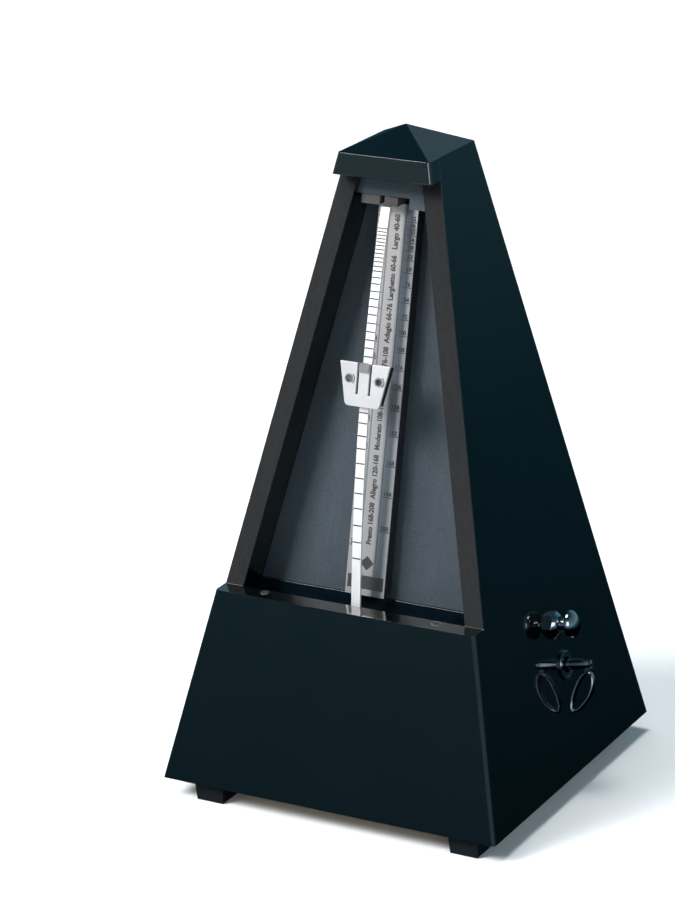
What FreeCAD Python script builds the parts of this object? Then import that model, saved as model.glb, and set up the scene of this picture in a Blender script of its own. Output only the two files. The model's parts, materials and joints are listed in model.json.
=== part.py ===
import FreeCAD, Part
import os
from math import acos, asin, atan, cos, degrees, hypot, pi, radians, sin, sqrt, tan

# A wooden pyramid metronome with a spring clockwork, in millimetres.
# +Z is up, -Y is the front, and the origin is the centre of the case's underside.

# ---------------------------------------------------------------- case
case_height = 214.0        # underside of the case to the tip of its roof
roof_height = 7.4          # the low pyramid on top
base_half = 60.6           # half the case's width and depth at its underside
eave_half = 16.2           # the same where the roof starts
wall = 6.7                 # side and back panels, measured level
front_panel = 6.9          # base panel, cover and header, measured level
corner_round = 1.3         # upright front corners
base_panel_top = 63.9      # top edge of the fixed lower front panel
header_bottom = 199.7      # lower edge of the header under the roof
bottom_board = 5.0
roof_plug = 4.0            # depth of the roof's locating block
joint_gap = 0.1            # between pieces that slide into place

# ---------------------------------------------------------------- recess behind the pendulum
board_set_back = 13.0      # face of the board behind the front edges of the sides
board_thickness = 3.0
board_bottom = 63.0
ledge_bottom = 51.0
ledge_set_back = 12.4
ledge_thickness = 4.0
rail_set_back = 2.5
rail_bottom = 189.1
rail_notch_height = 3.3
rail_notch_left = -13.6    # past the left side, so that the notch runs out to it
rail_notch_right = 6.2
clip_prongs = ((-11.4, -4.4), (-3.1, 1.9))  # left and right edges of its two prongs
clip_set_back = 0.6        # behind the rail's face
scale_half_width = 7.05
scale_set_back = 8.0
scale_thickness = 0.8
scale_bottom = 64.6
scale_top = 189.0
scale_groove_x = 2.9       # centre of the groove on each side of the middle band
scale_groove_width = 0.6
scale_groove_depth = 0.3

# ---------------------------------------------------------------- feet
foot_height = 6.7
foot_top_half = 5.4
foot_bottom_half = 4.8
foot_seat = 0.6            # depth of the board's seat that the foot is let into
foot_places = ((-44.4, -52.9), (48.4, -52.9), (-46.4, 51.0), (46.4, 51.0))
foot_screw_radius = 1.2
foot_screw_head = 2.6
foot_screw_head_height = 1.2
foot_screw_recess = 2.6    # depth of the hole that takes the head
foot_screw_inset = 2.0     # towards the middle of the case, clear of the front panel
foot_screw_bite = 3.5      # length of thread in the bottom board
corner_block_leg = 9.0
corner_block_height = 22.0

# ---------------------------------------------------------------- front cover and its fittings
cover_gap = 0.3            # round the cover, and between it and the back it leans on
cover_round = 1.3
cover_pin_x = 31.0
cover_pin_radius = 1.1
cover_pin_length = 4.0
cover_pin_bite = 8.0
socket_radius = 1.6
socket_depth = 6.0
socket_proud = 0.1
socket_clearance = 0.15
latch_width = 10.4
latch_height = 22.5
latch_below_top = 12.0     # from the cover's top edge to the latch plate's top
latch_depth = 2.8           # from the cover's face to the latch plate
latch_plate = 0.6
latch_button_width = 4.6
latch_button_height = 7.0
latch_travel = 1.2
latch_clearance = 0.15
emblem_half_width = 18.5
emblem_half_height = 26.5
emblem_thickness = 1.0
emblem_above_bottom = 46.0
emblem_pin_radius = 0.9
emblem_pin_inset = 3.4

# ---------------------------------------------------------------- pendulum
pivot_height = 44.0
pendulum_front = -37.7     # the straight part of the rod stands in this plane
rod_bend_height = 46.0     # above this the rod bows back in one long arc
rod_bow_radius = 452.0
rod_width = 3.2
rod_thickness = 0.8
rod_top = 190.0
rod_bottom = 9.0
verge_radius = 1.0
verge_back = 3.0
washer_radius = 3.6
washer_thickness = 1.6
bob_radius = 11.2
bob_thickness = 10.0
bob_height = 17.6
run_clearance = 0.05       # radial, for every shaft in its bearing
pallet_reach = 2.8
pallet_width = 2.4
pallet_thickness = 0.5
pallet_spread = 45.0

# ---------------------------------------------------------------- sliding weight
weight_height = 135.2      # height of its centre
weight_top_half = 8.9
weight_bottom_half = 6.1
weight_half_length = 7.0
weight_front = 2.2         # from the rod's middle to the front of the plate
weight_plate = 1.0
weight_back = 1.5
weight_inset = 0.35        # of the body inside the plate's outline
weight_round = 1.6
weight_slide_gap = 0.2
weight_slot_x = 2.2
weight_slot_width = 0.7
weight_slot_length = 10.2
weight_hole_x = 5.25
weight_hole_y = 1.7
weight_hole_radius = 0.9
thumb_pad_length = 2.8
thumb_pad_thickness = 0.5

# ---------------------------------------------------------------- clockwork, square to the right side
key_y = 8.7                # where the key's axis leaves the right side
key_height = 35.2
plate_thickness = 1.5
right_plate = -10.0        # outer face of the right plate, in from the side's outer face
left_plate = -40.0         # inner face of the left plate
plate_front, plate_back = -31.0, 22.0
plate_bottom, plate_top = -19.0, 35.0
pillar_places = ((-27.0, -14.0), (15.0, -15.0), (-27.0, 31.0), (18.0, 12.0))
pillar_radius = 2.0
pillar_stud = 1.2
nut_radius = 2.5
nut_height = 1.8
spacer_places = ((-27.0, 8.0), (18.0, -4.0), (-10.0, 31.0))
spacer_radius = 2.6
screw_radius = 1.2
screw_head_radius = 2.4
screw_head_height = 1.4
screw_bite = 4.0
arbor_radius = 2.0
arbor_tip_radius = 1.1
pressure_angle = 25.0
great_teeth, great_module = 54, 0.65
second_pinion_teeth = 12
second_teeth, second_module = 48, 0.5
escape_pinion_teeth = 12
gear_backlash = 0.16
pinion_extra = 0.5         # a pinion is this much wider than its wheel on each side
great_plane, great_width = -37.0, 2.2
second_plane, second_width = -32.0, 1.4
thin_arbor = 1.2
wheel_hub = 3.2
crown_teeth = 12
crown_centre = -22.7       # forward of the key's axis
crown_radius = 9.0
crown_wall = 1.1
crown_disc_thickness = 1.0
crown_tooth_height = 2.2
crown_clearance = 0.5      # pallets stand this far off the teeth
cam_counts = (12, 8, 6, 4)  # the bell sounds every 2, 3, 4 or 6 beats
cam_first = -26.5          # middle of the first cam
cam_pitch = 3.0
cam_thickness = 1.2
cam_radius = 5.5
cam_root = 4.2
cam_sleeve = 2.6
spring_inner, spring_outer = 4.6, 13.3
spring_thickness = 0.5
spring_turns = 6
spring_width = (-29.0, -17.0)
spring_post_radius = 0.9
ratchet_teeth = 16
ratchet_radius = 7.5
ratchet_root = 6.0
ratchet_plane = -14.2
ratchet_width = 1.5
click_distance = 13.0
click_angle = 215.0
click_pivot_radius = 1.0
click_clearance = 0.3
bridge_half = 14.0         # verge bearings each side of the crown wheel's centre
bridge_thickness = 1.2
bridge_height = 4.2

# ---------------------------------------------------------------- bell, hammer and selector
selector_place = (-3.5, 15.0)
selector_rod_radius = 1.2
selector_inner = -32.0
ferrule_radius = 4.7
ferrule_height = 3.2
ferrule_tube = 2.4
knob_radius = 4.7
knob_seat = 6.2            # underside of the knob, out from the side
knob_height = 3.4
collar_radius = 2.2
collar_thickness = 1.2
hammer_sleeve_radius = 2.6
hammer_sleeve = 4.0
hammer_arm = 14.0
hammer_head_radius = 2.2
hammer_head_length = 3.6
hammer_thickness = 1.0
hammer_rest_gap = 1.3
bell_radius = 11.0
bell_wall = 0.9
bell_mouth, bell_crown = -31.0, -14.5
bell_post_radius = 3.0
side_clearance = 0.3

# ---------------------------------------------------------------- winding key
stem_radius = 1.75
stem_start, stem_end = -3.0, 9.6
eyelet_radius = 4.9
eyelet_bore = 2.7
eyelet_tube = 3.4
eyelet_flange = 0.7
bow_turn = 20.0            # the bow hangs this far round from straight down
bow_upper, bow_lower = (7.3, 5.8), (5.0, 12.7)  # centres of its two ends: out from the case, down from the stem
bow_radius = 3.1           # to the middle of its metal
bow_width = 2.6
bow_metal = 1.0
bow_pin_inset = 1.1        # from the stem's end
bow_pin_radius = 0.5
bow_eye_radius = 1.25
bow_eye_width = 1.3
bow_side_gap = 0.15        # each side of the eye in the stem's fork

V = FreeCAD.Vector
eave_height = case_height - roof_height
slope = (base_half - eave_half) / eave_height
lean = atan(slope)


def half_at(z):
    """Half the case's width at a height."""
    return base_half - slope * z


def edge_at(z):
    """The plane of the sides' front edges."""
    return front_panel - half_at(z)


def solid_from(faces):
    made = Part.makeSolid(Part.makeShell(faces))
    return made if made.Volume > 0 else made.reversed()


def between(lower, upper):
    """A solid between two polygons with the same number of corners."""
    count = len(lower)
    faces = [Part.Face(Part.makePolygon(lower[::-1] + [lower[-1]]))]
    faces.append(Part.Face(Part.makePolygon(upper + [upper[0]])))
    for i in range(count):
        j = (i + 1) % count
        faces.append(Part.Face(Part.makePolygon([lower[i], lower[j], upper[j], upper[i], lower[i]])))
    return solid_from(faces)


def tapered(z0, z1, left, right, front, back):
    """A block whose four walls follow the pyramid's slope."""
    rings = []
    for z in (z0, z1):
        xs, ys = (left(z), right(z)), (front(z), back(z))
        rings.append([V(xs[0], ys[0], z), V(xs[1], ys[0], z), V(xs[1], ys[1], z), V(xs[0], ys[1], z)])
    return between(*rings)


def prism(points, z0, z1):
    wire = Part.makePolygon([V(x, y, z0) for x, y in points] + [V(points[0][0], points[0][1], z0)])
    return Part.Face(wire).extrude(V(0, 0, z1 - z0))


def rod(x, y, radius, z0, z1):
    return Part.makeCylinder(radius, z1 - z0, V(x, y, z0))


def tube(x, y, outer, inner, z0, z1):
    return rod(x, y, outer, z0, z1).cut(rod(x, y, inner, z0, z1))


def box(x0, x1, y0, y1, z0, z1):
    return Part.makeBox(x1 - x0, y1 - y0, z1 - z0, V(x0, y0, z0))


def turned(curves):
    """A solid of revolution about Z from the curves of half its section."""
    made = Part.Face(Part.Wire([curve.toShape() for curve in curves])).revolve(V(0, 0, 0), V(0, 0, 1), 360)
    return made if made.Volume > 0 else made.reversed()


def hexagon(x, y, radius, z0, z1):
    corners = [(x + radius * cos(k * pi / 3), y + radius * sin(k * pi / 3)) for k in range(6)]
    return prism(corners, z0, z1)


def framed(shape, origin, x_axis, y_axis, z_axis):
    """The shape moved from its own axes to these."""
    a, b, c, o = x_axis, y_axis, z_axis, origin
    matrix = FreeCAD.Matrix(a.x, b.x, c.x, o.x, a.y, b.y, c.y, o.y, a.z, b.z, c.z, o.z, 0, 0, 0, 1)
    moved = shape.copy()
    moved.Placement = FreeCAD.Placement(matrix).multiply(moved.Placement)
    return moved


def rounded(shape, radius, chosen):
    return shape.makeFillet(radius, [edge for edge in shape.Edges if chosen(edge)])


def front_corner(edge):
    """An upright edge at one of the front panel's outer corners."""
    ends = [v.Point for v in edge.Vertexes]
    if abs(ends[0].z - ends[1].z) < 1.0:
        return False
    return all(abs(abs(p.x) - half_at(p.z)) < 0.01 and abs(p.y + half_at(p.z)) < 0.01 for p in ends)


def panel(z0, z1, thickness=front_panel):
    """A full-width piece of the front plane."""
    return tapered(z0, z1, lambda z: -half_at(z), half_at, lambda z: -half_at(z),
                   lambda z: thickness - half_at(z))


# The clockwork's own axes: X runs front to back, Y up the slope of the right side, Z out of it.
key_point = V(half_at(key_height), key_y, key_height)
works_axes = (V(0, 1, 0), V(-sin(lean), 0, cos(lean)), V(cos(lean), 0, sin(lean)))
side_inner = -wall * cos(lean)


def works(shape):
    return framed(shape, key_point, *works_axes)


def works_place(point):
    """Where a point of the case is, in the clockwork's axes."""
    gap = point - key_point
    return tuple(gap.dot(axis) for axis in works_axes)


nodes = {}


# ---------------------------------------------------------------- case
def inner(z):
    return half_at(z) - wall


def side_panel(sign):
    slab = tapered(0, eave_height, inner, half_at, edge_at, half_at)
    if sign > 0:
        bores = works(rod(0, 0, eyelet_tube, side_inner - wall, wall))
        bores = bores.fuse(works(rod(*selector_place, ferrule_tube, side_inner - wall, wall)))
        for x, y in spacer_places:
            bores = bores.fuse(works(rod(x, y, screw_radius, side_inner - 1.0, side_inner + screw_bite)))
        return slab.cut(bores)
    return slab.mirror(V(0, 0, 0), V(1, 0, 0))


nodes["left_side_panel"] = side_panel(-1)
nodes["right_side_panel"] = side_panel(1)
nodes["back_panel"] = tapered(0, eave_height, lambda z: -inner(z), inner, inner, half_at)

lowest_board = tapered(0, bottom_board, lambda z: -inner(z), inner, edge_at, inner)
screw_places = [(x, y - foot_screw_inset if y > 0 else y + foot_screw_inset) for x, y in foot_places]
for x, y in screw_places:
    lowest_board = lowest_board.cut(rod(x, y, foot_screw_radius, -1, foot_screw_bite))
seats = [Part.makeBox(2 * foot_top_half, 2 * foot_top_half, foot_seat, V(x - foot_top_half, y - foot_top_half, 0))
         for x, y in foot_places]
foot_lands = [lowest_board.common(seat) for seat in seats]
nodes["bottom_board"] = lowest_board.cut(seats)

socket_y = edge_at(base_panel_top) - socket_radius - 0.5
base_front = rounded(panel(0, base_panel_top), corner_round, front_corner)
for sign in (-1, 1):
    base_front = base_front.cut(rod(sign * cover_pin_x, socket_y, socket_radius,
                                    base_panel_top - socket_depth, base_panel_top + 1))
nodes["base_front_panel"] = base_front

header = rounded(panel(header_bottom, eave_height), corner_round, front_corner)
nodes["header_lip"] = header

ring = [V(-eave_half, -eave_half, eave_height), V(eave_half, -eave_half, eave_height),
        V(eave_half, eave_half, eave_height), V(-eave_half, eave_half, eave_height)]
tip = V(0, 0, case_height)
faces = [Part.Face(Part.makePolygon(ring[::-1] + [ring[-1]]))]
faces += [Part.Face(Part.makePolygon([ring[i], ring[(i + 1) % 4], tip, ring[i]])) for i in range(4)]
plug_half = inner(eave_height) - joint_gap
plug = box(-plug_half, plug_half, edge_at(eave_height) + joint_gap, plug_half,
           eave_height - roof_plug, eave_height)
nodes["roof_cap"] = solid_from(faces).fuse(plug).removeSplitter()

board_top = eave_height - roof_plug - joint_gap
nodes["front_board"] = tapered(board_bottom, board_top, lambda z: -inner(z), inner,
                               lambda z: edge_at(z) + board_set_back,
                               lambda z: edge_at(z) + board_set_back + board_thickness)
nodes["ledge_rail"] = tapered(ledge_bottom, board_bottom, lambda z: -inner(z), inner,
                              lambda z: edge_at(z) + ledge_set_back,
                              lambda z: edge_at(z) + ledge_set_back + ledge_thickness)

rail = tapered(rail_bottom, header_bottom + 2.0, lambda z: -inner(z), inner,
               lambda z: edge_at(z) + rail_set_back, lambda z: edge_at(z) + board_set_back)
notch_top = rail_bottom + rail_notch_height
rail = rail.cut(box(rail_notch_left, rail_notch_right, -base_half, base_half, 0, notch_top))
prongs = [tapered(rail_bottom, notch_top, lambda z, x=left: x, lambda z, x=right: x,
                  lambda z: edge_at(z) + rail_set_back + clip_set_back,
                  lambda z: edge_at(z) + board_set_back) for left, right in clip_prongs]


def scale_section(z):
    """The scale is a channel whose two legs stand on the board."""
    face, foot = edge_at(z) + scale_set_back, edge_at(z) + board_set_back
    w, t = scale_half_width, scale_thickness
    points = [(-w, face)]
    for sign in (-1, 1):
        groove = sign * scale_groove_x
        points += [(groove - scale_groove_width / 2, face), (groove, face + scale_groove_depth),
                   (groove + scale_groove_width / 2, face)]
    points += [(w, face), (w, foot), (w - t, foot), (w - t, face + t), (-w + t, face + t), (-w + t, foot),
               (-w, foot)]
    return [V(x, y, z) for x, y in points]


nodes["tempo_scale"] = between(scale_section(scale_bottom), scale_section(scale_top))
nodes["top_rail"] = rail
nodes["pendulum_clip"] = Part.makeCompound(prongs)

sockets = []
for sign in (-1, 1):
    bore = cover_pin_radius + socket_clearance
    sockets.append(tube(sign * cover_pin_x, socket_y, socket_radius, bore,
                        base_panel_top - socket_depth, base_panel_top + socket_proud))
nodes["cover_sockets"] = Part.makeCompound(sockets)

feet, foot_screws = [], []
head_top = foot_screw_recess - foot_height
for (x, y), (screw_x, screw_y), land in zip(foot_places, screw_places, foot_lands):
    top = [V(x + a * foot_top_half, y + b * foot_top_half, 0) for a, b in ((-1, -1), (1, -1), (1, 1), (-1, 1))]
    low = [V(x + a * foot_bottom_half, y + b * foot_bottom_half, -foot_height)
           for a, b in ((-1, -1), (1, -1), (1, 1), (-1, 1))]
    foot = between(low, top).cut(rod(screw_x, screw_y, foot_screw_head + joint_gap, -foot_height, head_top))
    foot = foot.cut(rod(screw_x, screw_y, foot_screw_radius, head_top, 0))
    feet.append(foot.fuse(land).removeSplitter())
    screw = rod(screw_x, screw_y, foot_screw_head, head_top - foot_screw_head_height, head_top)
    shank = rod(screw_x, screw_y, foot_screw_radius, head_top, foot_screw_bite)
    foot_screws.append(screw.fuse(shank).removeSplitter())
nodes["feet"] = Part.makeCompound(feet)
nodes["foot_screws"] = Part.makeCompound(foot_screws)

blocks = []
for a in (-1, 1):
    for b in (-1, 1):
        rings = []
        for z in (bottom_board, bottom_board + corner_block_height):
            x, y = a * inner(z), (inner(z) if b > 0 else edge_at(z))
            corner = [V(x, y, z), V(x - a * corner_block_leg, y, z), V(x, y - b * corner_block_leg, z)]
            rings.append(corner if a * b > 0 else corner[::-1])
        blocks.append(between(*rings))
nodes["corner_blocks"] = Part.makeCompound(blocks)

# ---------------------------------------------------------------- front cover, leaning on the back
cover_low = base_panel_top + cover_gap
cover_high = header_bottom - cover_gap
cover_down = cover_low - cover_pin_length + foot_height
cover_back = front_panel + slope * cover_down + cover_gap


def leaned(shape):
    """A piece of the fitted cover, taken to where the cover is put aside, its pins on the table."""
    moved = shape.copy()
    moved.rotate(V(0, 0, 0), V(0, 0, 1), 180)
    moved.translate(V(0, cover_back, -cover_down))
    return moved


def front_block(half_width, z_low, z_high, outer, depth):
    """A block in the front plane, from one depth behind it to another."""
    return tapered(z_low, z_high, lambda z: -half_width, lambda z: half_width,
                   lambda z: outer - half_at(z), lambda z: depth - half_at(z))


latch_high = cover_high - latch_below_top
latch_low = latch_high - latch_height
button_high = latch_high - (latch_height - latch_button_height) / 2
button_low = button_high - latch_button_height
button_half = latch_button_width / 2
plate_back_face = latch_depth + latch_plate
pocket = front_block(latch_width / 2, latch_low, latch_high, -1.0, plate_back_face + latch_travel)
window = front_block(button_half + latch_clearance, button_low - latch_clearance,
                     button_high + latch_clearance, -1.0, front_panel)
latch_cover = front_block(latch_width / 2, latch_low, latch_high, latch_depth, plate_back_face)
button = front_block(button_half, button_low, button_high, latch_depth - latch_travel,
                     plate_back_face - latch_clearance)

cover = rounded(panel(cover_low, cover_high), cover_round, front_corner).cut(pocket)
cover_pins = []
for sign in (-1, 1):
    pin = rod(sign * cover_pin_x, socket_y, cover_pin_radius, cover_low - cover_pin_length,
              cover_low + cover_pin_bite)
    cover = cover.cut(pin)
    cover_pins.append(leaned(pin))

emblem_height = cover_low + emblem_above_bottom * cos(lean)
emblem_point = V(0, -half_at(emblem_height), emblem_height)
front_axes = (V(1, 0, 0), V(0, sin(lean), cos(lean)), V(0, -cos(lean), sin(lean)))
diamond = [(0, -emblem_half_height), (emblem_half_width, 0), (0, emblem_half_height), (-emblem_half_width, 0)]
emblem = prism(diamond, 0, emblem_thickness)
emblem_pins = []
for sign in (-1, 1):
    y = sign * (emblem_half_height - emblem_pin_inset)
    pin = rod(0, y, emblem_pin_radius, -front_panel / 2, emblem_thickness + 0.4)
    emblem = emblem.cut(pin)
    placed = framed(pin, emblem_point, *front_axes)
    cover = cover.cut(placed)
    emblem_pins.append(leaned(placed))
nodes["front_cover"] = leaned(cover)
nodes["cover_pins"] = Part.makeCompound(cover_pins)
nodes["cover_emblem"] = leaned(framed(emblem, emblem_point, *front_axes))
nodes["emblem_pins"] = Part.makeCompound(emblem_pins)
nodes["cover_latch_plate"] = leaned(latch_cover.cut(window))
nodes["cover_latch_button"] = leaned(button)

# ---------------------------------------------------------------- pendulum
bow_centre = V(0, pendulum_front + rod_bow_radius, rod_bend_height)


def bowed(angle, radius):
    """A point beside the rod's middle line, at an angle up its bow."""
    return bow_centre + V(0, -radius * cos(angle), radius * sin(angle))


def bow_angle(z):
    return asin((z - rod_bend_height) / rod_bow_radius)


top_angle = bow_angle(rod_top)
front_radius = rod_bow_radius + rod_thickness / 2
back_radius = rod_bow_radius - rod_thickness / 2
low_front = V(0, bow_centre.y - front_radius, rod_bottom)
low_back = V(0, bow_centre.y - back_radius, rod_bottom)
front_arc = Part.Arc(bowed(0, front_radius), bowed(top_angle / 2, front_radius), bowed(top_angle, front_radius))
back_arc = Part.Arc(bowed(top_angle, back_radius), bowed(top_angle / 2, back_radius), bowed(0, back_radius))
outline = [Part.LineSegment(low_front, bowed(0, front_radius)), front_arc,
           Part.LineSegment(bowed(top_angle, front_radius), bowed(top_angle, back_radius)), back_arc,
           Part.LineSegment(bowed(0, back_radius), low_back), Part.LineSegment(low_back, low_front)]
strip = Part.Face(Part.Wire([curve.toShape() for curve in outline])).extrude(V(rod_width, 0, 0))
strip.translate(V(-rod_width / 2, 0, 0))


def along_y(radius, y0, y1, z):
    return Part.makeCylinder(radius, y1 - y0, V(0, y0, z), V(0, 1, 0))


strip_front = pendulum_front - rod_thickness / 2
strip_back = pendulum_front + rod_thickness / 2
verge = along_y(verge_radius, strip_front - washer_thickness - 0.4, verge_back, pivot_height)
nodes["pendulum_rod"] = strip.cut(verge)
nodes["pendulum_verge"] = verge
washers = [along_y(washer_radius, strip_front - washer_thickness, strip_front, pivot_height),
           along_y(washer_radius, strip_back, strip_back + washer_thickness, pivot_height)]
nodes["verge_washers"] = Part.makeCompound([washer.cut(verge) for washer in washers])
bob = along_y(bob_radius, pendulum_front - bob_thickness / 2, pendulum_front + bob_thickness / 2, bob_height)
nodes["pendulum_bob"] = bob.cut(strip)

# ---------------------------------------------------------------- sliding weight
weight_angle = bow_angle(weight_height)
weight_point = bowed(weight_angle, rod_bow_radius)
weight_axes = (V(1, 0, 0), V(0, sin(weight_angle), cos(weight_angle)), V(0, -cos(weight_angle), sin(weight_angle)))


def weight_outline(inset, z0, z1):
    """The weight is widest at its top, with two rounded lower corners."""
    top, low, half = weight_top_half - inset, weight_bottom_half - inset, weight_half_length - inset
    shape = prism([(-low, -half), (low, -half), (top, half), (-top, half)], z0, z1)
    return rounded(shape, weight_round, lambda edge: all(v.Point.y < 0 for v in edge.Vertexes)
                   and abs(edge.Vertexes[0].Z - edge.Vertexes[-1].Z) > 0.1)


channel_half = rod_width / 2 + weight_slide_gap
channel_depth = rod_thickness / 2 + weight_slide_gap
channel = box(-channel_half, channel_half, -weight_half_length, weight_half_length, -channel_depth, channel_depth)
plate_behind = weight_front - weight_plate
face_plate = weight_outline(0, plate_behind, weight_front)
weight_body = weight_outline(weight_inset, -weight_back, plate_behind).cut(channel)
rivets = []
for sign in (-1, 1):
    x = sign * weight_slot_x
    face_plate = face_plate.cut(box(x - weight_slot_width / 2, x + weight_slot_width / 2,
                                    weight_half_length - weight_slot_length, weight_half_length + 1,
                                    plate_behind - 1, weight_front + 1))
    hole = rod(sign * weight_hole_x, weight_hole_y, weight_hole_radius + 0.45, -weight_back, weight_front + 1)
    face_plate, weight_body = face_plate.cut(hole), weight_body.cut(hole)
    rivets.append(tube(sign * weight_hole_x, weight_hole_y, weight_hole_radius + 0.45, weight_hole_radius,
                       -weight_back, weight_front + 0.15))
pad_half = weight_slot_x - weight_slot_width / 2
pad = box(-pad_half, pad_half, weight_half_length - thumb_pad_length, weight_half_length,
          weight_front, weight_front + thumb_pad_thickness)
for name, shape in (("weight_plate", face_plate), ("weight_body", weight_body), ("weight_thumb_pad", pad),
                    ("weight_rivets", Part.makeCompound(rivets))):
    nodes[name] = framed(shape, weight_point, *weight_axes)

# ---------------------------------------------------------------- clockwork
plate_inner = right_plate - plate_thickness
left_outer = left_plate - plate_thickness
verge_x, verge_y, verge_z = works_place(V(0, pendulum_front, pivot_height))
great_pitch = great_teeth * great_module / 2
second_pinion_pitch = second_pinion_teeth * great_module / 2
second_pitch = second_teeth * second_module / 2
escape_pinion_pitch = escape_pinion_teeth * second_module / 2
first_distance = great_pitch + second_pinion_pitch
last_distance = second_pitch + escape_pinion_pitch
escape_place = (crown_centre, verge_y)
span = hypot(*escape_place)
span_angle = pi - atan(escape_place[1] / -escape_place[0])
second_angle = span_angle + acos((first_distance ** 2 + span ** 2 - last_distance ** 2)
                                 / (2 * first_distance * span))
second_place = (first_distance * cos(second_angle), first_distance * sin(second_angle))
last_angle = pi / 2 - atan((escape_place[0] - second_place[0]) / (escape_place[1] - second_place[1]))


def involute(angle):
    return tan(angle) - angle


def gear(place, teeth, module, first_tooth, z0, z1):
    """A spur gear with flat-sided teeth that follow an involute."""
    pitch = teeth * module / 2
    base = pitch * cos(radians(pressure_angle))
    half_tooth = (pi * module / 2 - gear_backlash) / (2 * pitch) + involute(radians(pressure_angle))
    root = pitch - 1.25 * module
    flank = [root, pitch, pitch + module] if base < root else [root, base, pitch, pitch + module]
    points = []
    for k in range(teeth):
        middle = first_tooth + 2 * pi * k / teeth
        halves = [half_tooth - involute(acos(min(1.0, base / r))) for r in flank]
        sides = [(r, middle - h) for r, h in zip(flank, halves)]
        sides += [(r, middle + h) for r, h in zip(flank[::-1], halves[::-1])]
        points += [(place[0] + r * cos(a), place[1] + r * sin(a)) for r, a in sides]
    return prism(points, z0, z1)


def toothed(place, teeth, outer, root, lead, z0, z1):
    """A saw-toothed disc: each tooth rises over its lead, a share of the pitch."""
    points = []
    for k in range(teeth):
        for radius, share in ((root, 0.0), (outer, lead)):
            angle = 2 * pi * (k + share) / teeth
            points.append((place[0] + radius * cos(angle), place[1] + radius * sin(angle)))
    return prism(points, z0, z1)


bearings = {(0, 0): arbor_radius, second_place: thin_arbor, escape_place: thin_arbor}
right = box(plate_front, plate_back, plate_bottom, plate_top, plate_inner, right_plate)
left = box(plate_front, plate_back, plate_bottom, plate_top, left_outer, left_plate)
for (x, y), radius in bearings.items():
    hole = rod(x, y, radius + run_clearance, left_outer - 1, right_plate + 1)
    right, left = right.cut(hole), left.cut(hole)
right = right.cut(rod(*selector_place, selector_rod_radius + run_clearance, plate_inner - 1, right_plate + 1))
pillars, nuts = [], []
for x, y in pillar_places:
    stud = rod(x, y, pillar_stud, left_outer - nut_height, right_plate + nut_height)
    right, left = right.cut(stud), left.cut(stud)
    pillars.append(rod(x, y, pillar_radius, left_plate, plate_inner).fuse(stud).removeSplitter())
    for z in (left_outer - nut_height, right_plate):
        nuts.append(hexagon(x, y, nut_radius, z, z + nut_height).cut(stud))
spacers, screws = [], []
for x, y in spacer_places:
    shank = rod(x, y, screw_radius, plate_inner - screw_head_height, side_inner + screw_bite)
    right = right.cut(shank)
    spacers.append(tube(x, y, spacer_radius, screw_radius, right_plate, side_inner))
    head = rod(x, y, screw_head_radius, plate_inner - screw_head_height, plate_inner)
    screws.append(head.fuse(shank).removeSplitter())

bell_x = selector_place[0] + hammer_rest_gap + hammer_head_radius + bell_radius
bell_y = selector_place[1] + hammer_arm
post = rod(bell_x, bell_y, bell_post_radius, left_plate, bell_crown - bell_wall)
post = post.fuse(rod(bell_x, bell_y, pillar_stud, left_plate, bell_crown + nut_height)).removeSplitter()
nuts.append(hexagon(bell_x, bell_y, nut_radius, bell_crown, bell_crown + nut_height).cut(post))


def cup(radius, crown, shoulder):
    """The outside or the inside of the bell, a cylinder with a rounded shoulder."""
    z = crown - shoulder
    quarter = Part.Arc(V(radius, 0, z), V(radius - shoulder * (1 - sqrt(0.5)), 0, z + shoulder * sqrt(0.5)),
                       V(radius - shoulder, 0, crown))
    lines = [Part.LineSegment(V(0, 0, bell_mouth), V(radius, 0, bell_mouth)),
             Part.LineSegment(V(radius, 0, bell_mouth), V(radius, 0, z)), quarter,
             Part.LineSegment(V(radius - shoulder, 0, crown), V(0, 0, crown)),
             Part.LineSegment(V(0, 0, crown), V(0, 0, bell_mouth))]
    made = turned(lines)
    made.translate(V(bell_x, bell_y, 0))
    return made


bell = cup(bell_radius, bell_crown, 4.0).cut(cup(bell_radius - bell_wall, bell_crown - bell_wall, 4.0 - bell_wall))
nodes["bell"] = works(bell.cut(post))
nodes["bell_post"] = works(post)

bridge_x = (escape_place[0] - bridge_half, escape_place[0] + bridge_half)
bridge_end = verge_z - verge_radius - 2.0
bridge = box(*bridge_x, verge_y - bridge_height, verge_y + bridge_height,
             left_outer - bridge_thickness, left_outer)
for x, step in ((bridge_x[0], bridge_thickness), (bridge_x[1], -bridge_thickness)):
    bridge = bridge.fuse(box(min(x, x + step), max(x, x + step), verge_y - bridge_height,
                             verge_y + bridge_height, bridge_end, left_outer))
verge_hole = Part.makeCylinder(verge_radius + run_clearance, 4 * bridge_half,
                               V(escape_place[0] - 2 * bridge_half, verge_y, verge_z), V(1, 0, 0))
bridge = bridge.cut(verge_hole).cut(rod(*escape_place, thin_arbor + 0.6, left_outer - 3, left_outer))
nodes["verge_bridge"] = works(bridge.removeSplitter())

flags = []
for sign in (-1, 1):
    flag = box(-pallet_width / 2, pallet_width / 2, -pallet_thickness / 2, pallet_thickness / 2,
               verge_radius * 0.9, pallet_reach)
    flag.rotate(V(0, 0, 0), V(1, 0, 0), sign * pallet_spread)
    flag.translate(V(escape_place[0] + sign * (crown_radius - crown_wall / 2), verge_y, verge_z))
    flags.append(works(flag).cut(verge))
nodes["verge_pallets"] = Part.makeCompound(flags)

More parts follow.
